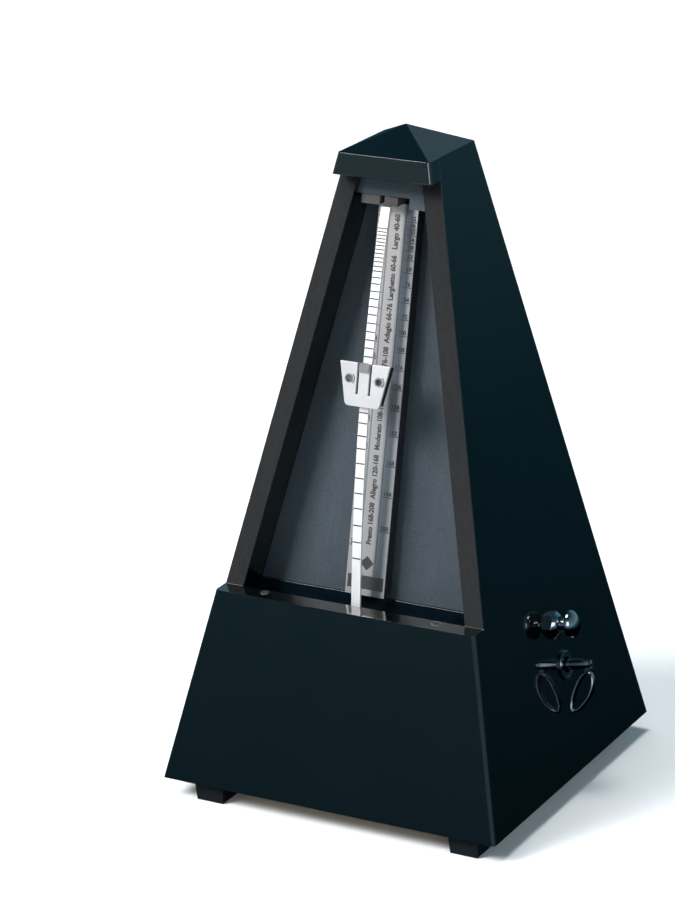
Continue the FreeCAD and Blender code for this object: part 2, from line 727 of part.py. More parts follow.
pallet_end = pallet_reach * cos(radians(pallet_spread)) + pallet_thickness / 2 * sin(radians(pallet_spread))
tip_plane = verge_z + pallet_end + crown_clearance
crown_disc = tip_plane + crown_tooth_height
teeth = rod(*escape_place, crown_radius, crown_disc, crown_disc + crown_disc_thickness)
tooth_pitch = 2 * pi * crown_radius / crown_teeth
for k in range(crown_teeth):
    root_z = crown_disc + crown_disc_thickness / 2
    outline = [V(0, 0, root_z), V(0, tooth_pitch * 0.55, root_z), V(0, tooth_pitch * 0.1, tip_plane),
               V(0, 0, tip_plane), V(0, 0, root_z)]
    tooth = Part.Face(Part.makePolygon(outline)).extrude(V(crown_wall, 0, 0))
    tooth.translate(V(crown_radius - crown_wall - 0.4, 0, 0))
    tooth.rotate(V(0, 0, 0), V(0, 0, 1), 360.0 * k / crown_teeth)
    tooth.translate(V(*escape_place, 0))
    teeth = teeth.fuse(tooth)
escape_arbor = rod(*escape_place, thin_arbor, crown_disc - 0.6, right_plate)
nodes["escape_wheel"] = works(teeth.cut(escape_arbor).removeSplitter())

great_tooth = second_angle
pinion_tooth = second_angle + pi + pi / second_pinion_teeth
escape_tooth = last_angle + pi + pi / escape_pinion_teeth
winding_arbor = rod(0, 0, arbor_radius, left_outer, stem_start - 1)
winding_arbor = winding_arbor.fuse(rod(0, 0, arbor_tip_radius, stem_start - 1, stem_end - 4.5)).removeSplitter()
hub_space = rod(0, 0, arbor_radius + run_clearance, left_outer, right_plate)
great = gear((0, 0), great_teeth, great_module, great_tooth, great_plane, great_plane + great_width)
great = great.fuse(rod(0, 0, wheel_hub + 1, great_plane, great_plane + great_width + 1.5))
nodes["great_wheel"] = works(great.cut(hub_space).removeSplitter())

second_arbor = rod(*second_place, thin_arbor, left_outer, right_plate)
pinion = gear(second_place, second_pinion_teeth, great_module, pinion_tooth,
              great_plane - pinion_extra, great_plane + great_width + pinion_extra)
nodes["second_arbor"] = works(second_arbor.fuse(pinion).removeSplitter())
second = gear(second_place, second_teeth, second_module, last_angle, second_plane, second_plane + second_width)
second = second.fuse(rod(*second_place, wheel_hub, second_plane, second_plane + second_width + 1.2))
nodes["second_wheel"] = works(second.cut(second_arbor).removeSplitter())

pinion = gear(escape_place, escape_pinion_teeth, second_module, escape_tooth,
              second_plane - pinion_extra, second_plane + second_width + pinion_extra)
nodes["escape_arbor"] = works(escape_arbor.fuse(pinion).removeSplitter())

drum = rod(*escape_place, cam_sleeve, cam_first - cam_pitch / 2,
           cam_first + cam_pitch * (len(cam_counts) - 0.5))
for k, count in enumerate(cam_counts):
    middle = cam_first + cam_pitch * k
    drum = drum.fuse(toothed(escape_place, count, cam_radius, cam_root, 0.3,
                             middle - cam_thickness / 2, middle + cam_thickness / 2))
nodes["bell_cams"] = works(drum.cut(escape_arbor).removeSplitter())

spiral = []
steps = 20
for side in (1, -1):
    ring = []
    for k in range(steps * spring_turns + 1):
        share = k / (steps * spring_turns)
        radius = spring_inner + (spring_outer - spring_inner) * share + side * spring_thickness / 2
        angle = 2 * pi * spring_turns * share - pi / 4
        ring.append((radius * cos(angle), radius * sin(angle)))
    spiral += ring[::side]
nodes["mainspring"] = works(prism(spiral, *spring_width))
post_distance = spring_outer + spring_thickness / 2 + spring_post_radius + run_clearance
post_place = (post_distance * cos(-pi / 4), post_distance * sin(-pi / 4))
nodes["spring_post"] = works(rod(*post_place, spring_post_radius, spring_width[0], plate_inner))

ratchet = toothed((0, 0), ratchet_teeth, ratchet_radius, ratchet_root, 0.12,
                  ratchet_plane, ratchet_plane + ratchet_width)
nodes["ratchet_wheel"] = works(ratchet.cut(winding_arbor))
click_at = (click_distance * cos(radians(click_angle)), click_distance * sin(radians(click_angle)))
click_bore = rod(*click_at, click_pivot_radius + run_clearance, ratchet_plane - 1, ratchet_plane + 3)
reach = ratchet_radius + click_clearance
tip_angle = radians(click_angle - 32)
click_tip = [(reach * cos(tip_angle), reach * sin(tip_angle)),
             ((reach + 1.6) * cos(tip_angle), (reach + 1.6) * sin(tip_angle))]
click_root = [(click_at[0] - 1.6, click_at[1] + 0.6), (click_at[0] + 1.0, click_at[1] + 1.4)]
click = prism([click_tip[0], click_tip[1], click_root[0], click_root[1]],
              ratchet_plane, ratchet_plane + ratchet_width)
click = click.fuse(rod(*click_at, 2.2, ratchet_plane, ratchet_plane + ratchet_width)).cut(click_bore)
nodes["ratchet_click"] = works(click.removeSplitter())
click_screw = rod(*click_at, click_pivot_radius, ratchet_plane, right_plate)
click_screw = click_screw.fuse(rod(*click_at, 1.9, ratchet_plane - 1.0, ratchet_plane - 0.1))
click_screw = click_screw.fuse(rod(*click_at, click_pivot_radius, ratchet_plane - 0.1, ratchet_plane))
right = right.cut(click_screw)
nodes["click_screw"] = works(click_screw.removeSplitter())

nodes["right_movement_plate"] = works(right)
nodes["left_movement_plate"] = works(left)
nodes["movement_pillars"] = works(Part.makeCompound(pillars))
nodes["movement_nuts"] = works(Part.makeCompound(nuts))
nodes["movement_spacers"] = works(Part.makeCompound(spacers))
nodes["movement_screws"] = works(Part.makeCompound(screws))

# ---------------------------------------------------------------- winding key
def keyed(shape):
    """A shape drawn with X out along the stem and Y the way the bow hangs."""
    hang = V(-sin(radians(bow_turn)), -cos(radians(bow_turn)), 0)
    return framed(shape, V(0, 0, 0), V(0, 0, 1), hang, V(0, 0, 1).cross(hang))


def oval(radius):
    """The bow's outline, two equal half circles joined by straight runs."""
    ends = [V(a, b, -bow_width / 2) for a, b in (bow_upper, bow_lower)]
    run = (ends[1] - ends[0]).normalize()
    side = V(-run.y, run.x, 0) * radius
    cap = run * radius
    curves = [Part.LineSegment(ends[0] + side, ends[1] + side),
              Part.Arc(ends[1] + side, ends[1] + cap, ends[1] - side),
              Part.LineSegment(ends[1] - side, ends[0] - side),
              Part.Arc(ends[0] - side, ends[0] - cap, ends[0] + side)]
    return Part.Face(Part.Wire([curve.toShape() for curve in curves])).extrude(V(0, 0, bow_width))


bow_pin_at = stem_end - bow_pin_inset
slot_half = bow_eye_width / 2 + bow_side_gap
fork = box(bow_pin_at - bow_eye_radius - side_clearance, stem_end + 1, -2 * stem_radius, 2 * stem_radius,
           -slot_half, slot_half)
bow_pin = rod(bow_pin_at, 0, bow_pin_radius, -stem_radius, stem_radius)
key_stem = rod(0, 0, stem_radius, stem_start, stem_end).cut(winding_arbor)
key_stem = key_stem.cut(keyed(fork)).cut(keyed(bow_pin))
bow_edge = oval(bow_radius + bow_metal / 2)
neck_half = bow_eye_radius * 0.8
neck = box(bow_pin_at - neck_half, bow_pin_at + neck_half / 2, 0, bow_upper[1] - bow_radius,
           -bow_eye_width / 2, bow_eye_width / 2)
bow = bow_edge.fuse(neck).cut(oval(bow_radius - bow_metal / 2))
bow = bow.fuse(rod(bow_pin_at, 0, bow_eye_radius, -bow_eye_width / 2, bow_eye_width / 2))
bow = bow.cut(rod(bow_pin_at, 0, bow_pin_radius + run_clearance, -bow_width, bow_width)).removeSplitter()
nodes["winding_arbor"] = works(winding_arbor)
nodes["key_stem"] = works(key_stem)
nodes["key_bow"] = works(keyed(bow))
nodes["key_bow_pin"] = works(keyed(bow_pin))
eyelet = rod(0, 0, eyelet_radius, 0, eyelet_flange).fuse(rod(0, 0, eyelet_tube, side_inner, 0))
nodes["key_eyelet"] = works(eyelet.cut(rod(0, 0, eyelet_bore, side_inner - 1, wall)).removeSplitter())

# ---------------------------------------------------------------- bell selector and hammer
sx, sy = selector_place
knob_top = knob_seat + knob_height
selector_rod = rod(sx, sy, selector_rod_radius, selector_inner, knob_seat + 1.5)
for z in (cam_first - hammer_sleeve / 2 - side_clearance - collar_thickness,
          cam_first + hammer_sleeve / 2 + side_clearance):
    selector_rod = selector_rod.fuse(rod(sx, sy, collar_radius, z, z + collar_thickness))
nodes["selector_rod"] = works(selector_rod.removeSplitter())
ferrule = hexagon(sx, sy, ferrule_radius, 0, ferrule_height)
dome = Part.makeCone(ferrule_radius + 1.2, ferrule_radius - 1.8, ferrule_height, V(sx, sy, 0))
ferrule = ferrule.common(dome).fuse(rod(sx, sy, ferrule_tube, side_inner, 0))
ferrule = ferrule.cut(rod(sx, sy, selector_rod_radius + run_clearance, side_inner - 1, ferrule_height + 1))
nodes["selector_ferrule"] = works(ferrule.removeSplitter())

neck_start = ferrule_height + side_clearance
rim = knob_seat + 1.0
profile = [V(0, 0, neck_start), V(1.9, 0, neck_start), V(1.7, 0, knob_seat - 0.4), V(knob_radius - 0.3, 0, knob_seat),
           V(knob_radius, 0, rim)]
curves = [Part.LineSegment(a, b) for a, b in zip(profile, profile[1:])]
rise = knob_top - rim
dome_radius = (knob_radius ** 2 + rise ** 2) / (2 * rise)
half_arc = asin(knob_radius / dome_radius) / 2
curves.append(Part.Arc(V(knob_radius, 0, rim), V(dome_radius * sin(half_arc), 0,
                                                 knob_top - dome_radius * (1 - cos(half_arc))), V(0, 0, knob_top)))
curves.append(Part.LineSegment(V(0, 0, knob_top), V(0, 0, neck_start)))
knob = turned(curves)
knob.translate(V(sx, sy, 0))
nodes["selector_knob"] = works(knob.cut(rod(sx, sy, selector_rod_radius, 0, knob_seat + 1.5)))

hammer_bore = rod(sx, sy, selector_rod_radius + run_clearance, selector_inner, 0)
cam_way = hypot(escape_place[0] - sx, escape_place[1] - sy)
tail_angle = degrees(pi + atan((escape_place[1] - sy) / (escape_place[0] - sx)))
arm_z = (cam_first - hammer_thickness / 2, cam_first + hammer_thickness / 2)
tail = box(0, cam_way - cam_radius - side_clearance, -1.0, 1.0, *arm_z)
tail.rotate(V(0, 0, 0), V(0, 0, 1), tail_angle)
tail.translate(V(sx, sy, 0))
arm = box(sx - 1.1, sx + 1.1, sy, sy + hammer_arm, *arm_z)
hammer = rod(sx, sy, hammer_sleeve_radius, cam_first - hammer_sleeve / 2, cam_first + hammer_sleeve / 2)
hammer = hammer.fuse(tail).fuse(arm)
hammer = hammer.fuse(rod(sx, sy + hammer_arm, hammer_head_radius, cam_first - hammer_head_length / 2,
                         cam_first + hammer_head_length / 2))
nodes["bell_hammer"] = works(hammer.cut(hammer_bore).removeSplitter())

os.makedirs("parts", exist_ok=True)
for name, shape in nodes.items():
    shape.exportStep(os.path.join("parts", name + ".step"))
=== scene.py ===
import json
from math import asin, atan, atan2, cos, pi, radians, sin

import bmesh
import bpy
from mathutils import Matrix, Vector


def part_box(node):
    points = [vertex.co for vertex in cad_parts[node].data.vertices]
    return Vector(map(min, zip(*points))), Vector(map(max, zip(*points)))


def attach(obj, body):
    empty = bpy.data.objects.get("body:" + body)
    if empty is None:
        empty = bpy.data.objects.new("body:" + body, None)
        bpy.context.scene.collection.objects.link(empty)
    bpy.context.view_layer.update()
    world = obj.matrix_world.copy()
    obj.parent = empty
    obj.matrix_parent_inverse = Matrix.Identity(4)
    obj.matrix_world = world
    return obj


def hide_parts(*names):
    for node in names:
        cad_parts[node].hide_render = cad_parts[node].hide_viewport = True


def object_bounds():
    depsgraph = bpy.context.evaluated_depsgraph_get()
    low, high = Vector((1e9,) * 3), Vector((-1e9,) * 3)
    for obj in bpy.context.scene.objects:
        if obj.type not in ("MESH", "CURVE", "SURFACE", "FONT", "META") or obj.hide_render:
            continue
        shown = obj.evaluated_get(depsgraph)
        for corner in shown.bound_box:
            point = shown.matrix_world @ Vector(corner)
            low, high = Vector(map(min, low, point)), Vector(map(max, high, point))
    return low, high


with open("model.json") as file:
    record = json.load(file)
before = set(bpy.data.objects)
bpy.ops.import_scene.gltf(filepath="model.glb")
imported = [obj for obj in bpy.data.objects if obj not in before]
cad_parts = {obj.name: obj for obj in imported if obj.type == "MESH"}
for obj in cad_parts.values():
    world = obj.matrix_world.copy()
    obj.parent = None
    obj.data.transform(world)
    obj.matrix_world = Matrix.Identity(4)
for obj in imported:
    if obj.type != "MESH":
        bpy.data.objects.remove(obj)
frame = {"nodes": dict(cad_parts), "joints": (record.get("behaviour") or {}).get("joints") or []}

# A pyramid metronome: lacquered case, bowed pendulum over a tempo scale, key and bell selector.
# Everything is in metres; MM turns a maker's millimetres into them.
MM = 0.001
cad_box = [list(corner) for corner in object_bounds()]
joints = {j["name"]: j for j in frame["joints"]}
scene = bpy.context.scene


# ------------------------------------------------------------------ places taken from the frame
def middle(node):
    low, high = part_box(node)
    return (Vector(low) + Vector(high)) / 2


def joint_place(name):
    return Vector(joints[name]["pos_m"])


base_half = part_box("right_side_panel")[1][0]
eave_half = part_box("roof_cap")[1][0]
eave_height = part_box("right_side_panel")[1][2]
slope = (base_half - eave_half) / eave_height
lean = atan(slope)
wall = base_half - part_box("bottom_board")[1][0]
edge_back = base_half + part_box("right_side_panel")[0][1]


def half_at(z):
    return base_half - slope * z


def edge_at(z):
    return edge_back - half_at(z)


scale_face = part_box("tempo_scale")[0][1] - edge_at(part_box("tempo_scale")[0][2])
scale_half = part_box("tempo_scale")[1][0]


def axes(origin, x_axis, y_axis, z_axis):
    """A matrix that takes a piece drawn at the origin to its own place and direction."""
    turned = Matrix((x_axis, y_axis, z_axis)).transposed().to_4x4()
    return Matrix.Translation(origin) @ turned


key_out = Vector(joints["key_wind"]["axis"])
key_up = key_out.cross(Vector((0, 1, 0)))
key_place = axes(joint_place("key_wind"), Vector((0, 1, 0)), key_up, key_out)
bow_normal = -Vector(joints["key_bow_fold"]["axis"])
bow_hang = bow_normal.cross(key_out)
bow_place = axes(joint_place("key_wind"), key_out, bow_hang, bow_normal)
selector_gap = joint_place("hammer_strike") - joint_place("key_wind")
selector_foot = joint_place("key_wind") + selector_gap - key_out * selector_gap.dot(key_out)
selector_place = axes(selector_foot, Vector((0, 1, 0)), key_up, key_out)

bow_centre = joint_place("weight_slide")
weight_way = middle("weight_plate") - bow_centre
weight_angle = atan2(weight_way.z, -weight_way.y)
rod_radius = -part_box("pendulum_rod")[0][1] + bow_centre.y - 0.4 * MM
weight_normal = Vector((0, -cos(weight_angle), sin(weight_angle)))
weight_up = Vector((0, sin(weight_angle), cos(weight_angle)))
weight_place = axes(bow_centre + weight_normal * rod_radius, Vector((1, 0, 0)), weight_up, weight_normal)


# ------------------------------------------------------------------ finishes
class Field:
    """A value that varies over a surface; sums and products add their Math nodes."""

    def __init__(self, finish, socket):
        self.finish = finish
        self.socket = socket

    def worked(self, operation, first, second):
        made = self.finish.node("ShaderNodeMath", {0: first, 1: second}, operation=operation)
        return Field(self.finish, made.outputs[0])

    def __add__(self, other):
        return self.worked("ADD", self, other)

    def __radd__(self, other):
        return self.worked("ADD", other, self)

    def __sub__(self, other):
        return self.worked("SUBTRACT", self, other)

    def __rsub__(self, other):
        return self.worked("SUBTRACT", other, self)

    def __mul__(self, other):
        return self.worked("MULTIPLY", self, other)

    def __rmul__(self, other):
        return self.worked("MULTIPLY", other, self)

    def __gt__(self, other):
        return self.worked("GREATER_THAN", self, other)

    def __lt__(self, other):
        return self.worked("LESS_THAN", self, other)

    def size(self):
        return self.worked("ABSOLUTE", self, 0.0)

    def between(self, low, high):
        """0 at or below low, 1 at or above high."""
        made = self.finish.node("ShaderNodeMapRange", {"Value": self, "From Min": low, "From Max": high})
        return Field(self.finish, made.outputs["Result"])


class Finish:
    """One surface finish: a Principled surface and the nodes that vary it."""

    def __init__(self, name, **even):
        self.material = bpy.data.materials.new(name)
        self.material.use_nodes = True
        self.tree = self.material.node_tree
        self.tree.nodes.clear()
        self.surface = self.node("ShaderNodeBsdfPrincipled")
        self.node("ShaderNodeOutputMaterial", {"Surface": self.surface.outputs[0]})
        self.place = self.node("ShaderNodeTexCoord").outputs["Object"]
        split = self.node("ShaderNodeSeparateXYZ", {0: self.place})
        self.x, self.y, self.z = (Field(self, split.outputs[i]) for i in range(3))
        for socket, value in even.items():
            self.set(socket.replace("_", " ").title(), value)

    def node(self, kind, inputs=None, stops=None, **settings):
        made = self.tree.nodes.new(kind)
        for key, value in settings.items():
            setattr(made, key, value)
        if stops:
            ramp = made.color_ramp.elements
            while len(ramp) < len(stops):
                ramp.new(0.5)
            for element, (position, colour) in zip(ramp, stops):
                element.position = position
                element.color = (*colour, 1)
        for key, value in (inputs or {}).items():
            value = value.socket if isinstance(value, Field) else value
            if isinstance(value, bpy.types.NodeSocket):
                self.tree.links.new(value, made.inputs[key])
            else:
                made.inputs[key].default_value = value
        return made

    def set(self, socket, value):
        target = self.surface.inputs["IOR" if socket == "Ior" else socket]
        value = value.socket if isinstance(value, Field) else value
        if isinstance(value, bpy.types.NodeSocket):
            self.tree.links.new(value, target)
        elif isinstance(value, tuple):
            target.default_value = (*value, 1)
        else:
            target.default_value = value

    def noise(self, scale, detail=3.0, stretch=(1, 1, 1), rough=0.55):
        mapped = self.node("ShaderNodeMapping", {"Vector": self.place, "Scale": stretch})
        made = self.node("ShaderNodeTexNoise", {"Vector": mapped.outputs[0], "Scale": scale, "Detail": detail,
                                                "Roughness": rough})
        return Field(self, made.outputs[0])

    def spots(self, scale, size, stretch=(1, 1, 1)):
        """Small separate specks, 1 in their middle."""
        mapped = self.node("ShaderNodeMapping", {"Vector": self.place, "Scale": stretch})
        cells = self.node("ShaderNodeTexVoronoi", {"Vector": mapped.outputs[0], "Scale": scale})
        return 1.0 - Field(self, cells.outputs["Distance"]).between(size * 0.4, size)

    def tint(self, mask, low, high):
        low = (*low, 1) if isinstance(low, tuple) else low
        high = (*high, 1) if isinstance(high, tuple) else high
        made = self.node("ShaderNodeMix", {0: mask, 6: low, 7: high}, data_type="RGBA")
        return made.outputs[2]

    def bump(self, height, distance, strength=1.0, below=None):
        inputs = {"Height": height, "Distance": distance, "Strength": strength}
        if below:
            inputs["Normal"] = below
        made = self.node("ShaderNodeBump", inputs)
        self.set("Normal", made.outputs[0])
        return made.outputs[0]


def lacquer_finish():
    """Polished black lacquer over wood; the cut front edges of the sides are bare stained wood."""
    f = Finish("black_lacquer", roughness=0.08, coat_roughness=0.04, ior=1.5)
    cloud = f.noise(14, 3)
    dust = f.spots(900, 0.16) * f.noise(60, 2).between(0.5, 0.7)
    rubbed = f.noise(120, 4, (1, 1, 0.35)).between(0.42, 0.66)
    edge_wood = (edge_back + 0.35 * MM) - (f.y + base_half - slope * f.z)
    inside_width = half_band(f)
    above_base = f.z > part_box("base_front_panel")[1][2] + 0.05 * MM
    bare = (edge_wood > 0.0) * inside_width * above_base * (f.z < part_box("header_lip")[0][2] + 0.4 * MM)
    pores = f.noise(1500, 3, (1, 1, 0.1)).between(0.36, 0.66)
    black = f.tint(cloud, (0.0004, 0.0009, 0.0012), (0.0010, 0.0019, 0.0024))
    black = f.tint(dust * 0.12, black, (0.04, 0.048, 0.052))
    wood = f.tint(pores, (0.0016, 0.0018, 0.0024), (0.0055, 0.0057, 0.0066))
    f.set("Base Color", f.tint(bare, black, wood))
    f.set("Roughness", bare * 0.8 + (rubbed * 0.04 + 0.07 + dust * 0.15))
    f.set("Coat Weight", (1.0 - bare) * 0.85)
    f.bump(f.noise(300, 2) * (1.0 - bare) * 0.35 + pores * bare, 0.00003, 0.35)
    return f.material


def half_band(f):
    """1 on the sides' own front edges, 0 on the header and base panels that stand before them."""
    across = f.x.size() - (base_half - slope * f.z)
    return (across > -(wall + 0.3 * MM)) * (across < -0.25 * MM)


def stained_board(name, low, high, roughness):
    """Stained wood with a fine upright grain and open pores."""
    f = Finish(name)
    grain = f.noise(420, 5, (1, 1, 0.12), 0.65)
    pores = f.noise(3600, 2, (1, 1, 0.3)).between(0.42, 0.6)
    patch = f.noise(22, 2)
    mask = (grain * 0.45 + pores * 0.35 + patch * 0.3).between(0.25, 0.85)
    f.set("Base Color", f.tint(mask, low, high))
    f.set("Roughness", roughness + pores * 0.12)
    f.bump(pores + grain * 0.5, 0.00004, 0.5)
    return f.material


def bare_wood():
    f = Finish("plain_wood")
    rings = f.node("ShaderNodeTexWave", {"Vector": f.place, "Scale": 90.0, "Distortion": 7.0, "Detail": 3.0},
                   bands_direction="X")
    grain = Field(f, rings.outputs["Fac"]) * 0.5 + f.noise(900, 3, (1, 1, 0.1)) * 0.5
    f.set("Base Color", f.tint(grain, (0.30, 0.18, 0.09), (0.52, 0.36, 0.20)))
    f.set("Roughness", 0.62 + grain * 0.15)
    f.bump(grain, 0.00005, 0.4)
    return f.material


def metal(name, dark, light, roughness, lines=(1, 1, 1), scale=700, wear=0.08, metallic=1.0):
    """Plated or brushed metal: fine tool lines, soft clouding and worn specks."""
    f = Finish(name, metallic=metallic)
    tool = f.noise(scale, 4, lines, 0.6)
    cloud = f.noise(70, 3)
    specks = f.spots(1300, 0.14) * cloud.between(0.45, 0.7)
    f.set("Base Color", f.tint((tool * 0.4 + cloud * 0.6).between(0.3, 0.7), dark, light))
    f.set("Roughness", roughness + tool * wear + specks * 0.18)
    f.bump(tool, 0.00001, 0.35)
    return f.material


def enamel_finish():
    """Printed metal scale: white left flange, paler middle band, and a right flange coloured grey as painted shade,
    with a painted highlight along its outer edge; painted shade also darkens the lower end and the channel's legs.
    """
    f = Finish("scale_enamel", metallic=0.25, coat_weight=0.15, coat_roughness=0.2)
    # band: from here to the right the flange is painted dark, painted shade for a flange facing away from the
    # light.
    band = f.x.between(1.6 * MM, 3.2 * MM)
    # Painted shade: the scale is tinted darker towards its lower end.
    lower_shade = 1.0 - f.z.between(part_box("tempo_scale")[0][2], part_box("tempo_scale")[1][2] * 0.9)
    cloud = f.noise(90, 3)
    # rim: a painted highlight, a lighter strip along the right flange's outer edge.
    rim = f.x.between(5.2 * MM, 6.5 * MM)
    paint = f.tint(band, (0.30, 0.285, 0.28), (0.060, 0.072, 0.088))
    paint = f.tint(rim, paint, (0.34, 0.33, 0.345))
    paint = f.tint(lower_shade * 0.35, paint, (0.16, 0.17, 0.19))
    paint = f.tint(f.spots(1500, 0.15) * 0.3, paint, (0.25, 0.24, 0.24))
    # Painted shade: the channel's side legs are coloured dark so they read as the shadowed gap behind the strip.
    leg_start = edge_back - base_half + scale_face + 0.2 * MM
    leg_shade = (f.y - slope * f.z).between(leg_start, leg_start + 0.25 * MM)
    f.set("Base Color", f.tint(leg_shade, paint, (0.020, 0.024, 0.030)))
    f.set("Roughness", 0.36 + cloud * 0.12)
    f.bump(f.noise(1800, 2, (1, 1, 0.2)), 0.00001, 0.3)
    return f.material


def ink_finish():
    f = Finish("scale_ink", roughness=0.5)
    f.set("Base Color", f.tint(f.noise(2500, 2), (0.012, 0.011, 0.013), (0.04, 0.036, 0.04)))
    return f.material


def moulded(name, low, high, roughness, scale=1800, bump=0.00004):
    f = Finish(name)
    grain = f.noise(scale, 3)
    f.set("Base Color", f.tint(grain, low, high))
    f.set("Roughness", roughness + grain * 0.12)
    f.bump(grain, bump, 0.5)
    return f.material


LACQUER = lacquer_finish()
SLATE = stained_board("slate_board", (0.016, 0.024, 0.032), (0.036, 0.050, 0.064), 0.5)
NAVY = moulded("navy_rail", (0.0010, 0.0030, 0.0060), (0.0024, 0.0060, 0.0105), 0.10, 240, 0.00001)
CLIP = stained_board("clip_wood", (0.030, 0.026, 0.026), (0.075, 0.062, 0.060), 0.5)
PLAIN_WOOD = bare_wood()
ENAMEL = enamel_finish()
INK = ink_finish()
ROD = metal("rod_steel", (0.57, 0.55, 0.55), (0.75, 0.73, 0.73), 0.4, (1, 1, 0.06), 1500, metallic=0.25)
WEIGHT = metal("weight_satin", (0.40, 0.385, 0.39), (0.52, 0.505, 0.51), 0.42, (1, 1, 1), 2600, 0.05, metallic=0.3)
WEIGHT_DARK = metal("weight_dark", (0.04, 0.045, 0.05), (0.10, 0.11, 0.12), 0.42)
PAD = moulded("grey_pad", (0.10, 0.10, 0.10), (0.20, 0.195, 0.195), 0.5)
CHROME = metal("dark_chrome", (0.30, 0.31, 0.33), (0.46, 0.47, 0.50), 0.10, (1, 1, 1), 500, 0.03)
STEEL = metal("steel", (0.42, 0.43, 0.44), (0.62, 0.63, 0.64), 0.26, (1, 0.1, 1))
BRASS = metal("works_brass", (0.52, 0.34, 0.12), (0.78, 0.56, 0.24), 0.24, (1, 0.15, 1))
DULL_BRASS = metal("bob_brass", (0.34, 0.22, 0.08), (0.55, 0.38, 0.16), 0.36, (1, 1, 0.2))
BLUED = metal("blued_spring", (0.03, 0.04, 0.08), (0.08, 0.10, 0.17), 0.28)
RUBBER = moulded("foot_rubber", (0.001, 0.0025, 0.005), (0.003, 0.007, 0.012), 0.5)
LATCH = moulded("latch_black", (0.004, 0.004, 0.004), (0.014, 0.014, 0.014), 0.28)
EMBLEM = moulded("emblem_brown", (0.020, 0.008, 0.005), (0.050, 0.022, 0.014), 0.34)
GOLD = metal("emblem_gold", (0.55, 0.36, 0.12), (0.86, 0.62, 0.27), 0.22)


# ------------------------------------------------------------------ making pieces
def finished(name, bm, material, body, replaces=(), place=None, sharp=32):
    """Makes the mesh a piece at rest in its own place, with its finish and the body it rides on."""
    if place is not None:
        bmesh.ops.transform(bm, matrix=place, verts=bm.verts)
    bmesh.ops.recalc_face_normals(bm, faces=bm.faces)
    mesh = bpy.data.meshes.new(name)
    bm.to_mesh(mesh)
    bm.free()
    mesh.materials.append(material)
    mesh.shade_smooth()
    mesh.set_sharp_from_angle(angle=radians(sharp))
    made = bpy.data.objects.new(name, mesh)
    scene.collection.objects.link(made)
    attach(made, body)
    if replaces:
        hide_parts(*replaces)
    return made


def softened(bm, width, segments=2, angle=30):
    """Rounds every edge that turns by more than the angle."""
    edges = [e for e in bm.edges if len(e.link_faces) == 2 and e.calc_face_angle(0) > radians(angle)]
    bmesh.ops.bevel(bm, geom=edges, offset=width, offset_type="OFFSET", segments=segments, profile=0.5,
                    affect="EDGES", clamp_overlap=True, material=-1)


def eased(node, width, material, body, segments=2, sharp=32):
    """A copy of a frame part with its hard edges eased, standing for it."""
    bm = bmesh.new()
    bm.from_mesh(frame["nodes"][node].data)
    bmesh.ops.remove_doubles(bm, verts=bm.verts, dist=0.002 * MM)
    bmesh.ops.dissolve_limit(bm, angle_limit=radians(0.5), verts=bm.verts, edges=bm.edges)
    softened(bm, width, segments)
    made = finished("eased_" + node, bm, material, body, (node,), sharp=sharp)
    made.modifiers.new("level_faces", "WEIGHTED_NORMAL").keep_sharp = True
    return made


def block(bm, low, high):
    """A plain block between two corners, added to the mesh; returns its vertices."""
    low, high = Vector(low), Vector(high)
    scaled = Matrix.Translation((low + high) / 2) @ Matrix.Diagonal((*(high - low), 1))
    return bmesh.ops.create_cube(bm, size=1, matrix=scaled)["verts"]


def turned(profile, steps=48):
    """A solid turned about Z from (radius, height) points in millimetres, its ends closed on the axis."""
    bm = bmesh.new()
    points = [bm.verts.new((r * MM, 0, h * MM)) for r, h in profile]
    edges = [bm.edges.new(pair) for pair in zip(points, points[1:])]
    bmesh.ops.spin(bm, geom=points + edges, cent=(0, 0, 0), axis=(0, 0, 1), angle=2 * pi, steps=steps,
                   use_merge=True)
    bmesh.ops.remove_doubles(bm, verts=bm.verts, dist=0.002 * MM)
    return bm


def carried(names, material):
    """Frame parts whose shape is right keep it and take a finish."""
    for name in names:
        slots = frame["nodes"][name].data.materials
        for i in range(len(slots)):
            slots[i] = material


# ------------------------------------------------------------------ case
for node in ("left_side_panel", "right_side_panel", "back_panel"):
    eased(node, 0.35 * MM, LACQUER, "case")
eased("base_front_panel", 0.3 * MM, LACQUER, "case", 3)
eased("header_lip", 0.08 * MM, LACQUER, "case")
eased("roof_cap", 0.1 * MM, LACQUER, "case", 2, 20)
eased("front_board", 0.2 * MM, SLATE, "case")
carried(("top_rail",), SLATE)
eased("ledge_rail", 0.12 * MM, NAVY, "case")
eased("pendulum_clip", 0.4 * MM, CLIP, "case")
eased("feet", 0.7 * MM, RUBBER, "case", 3)
eased("bottom_board", 0.3 * MM, PLAIN_WOOD, "case")
eased("cover_sockets", 0.05 * MM, STEEL, "case")

# ------------------------------------------------------------------ carried-over parts
carried(("corner_blocks",), PLAIN_WOOD)
carried(("tempo_scale",), ENAMEL)
carried(("foot_screws", "cover_pins", "pendulum_verge", "verge_pallets", "winding_arbor", "key_bow_pin",
         "ratchet_wheel", "ratchet_click", "click_screw", "second_arbor", "escape_arbor", "selector_rod",
         "movement_screws", "spring_post", "weight_rivets"), STEEL)
carried(("great_wheel", "second_wheel", "escape_wheel", "bell_cams", "bell_post", "bell_hammer", "verge_bridge",
         "left_movement_plate", "right_movement_plate", "movement_pillars", "movement_nuts",
         "movement_spacers", "emblem_pins", "verge_washers"), BRASS)
carried(("mainspring",), BLUED)
carried(("bell",), CHROME)
eased("pendulum_bob", 0.5 * MM, DULL_BRASS, "pendulum", 3)

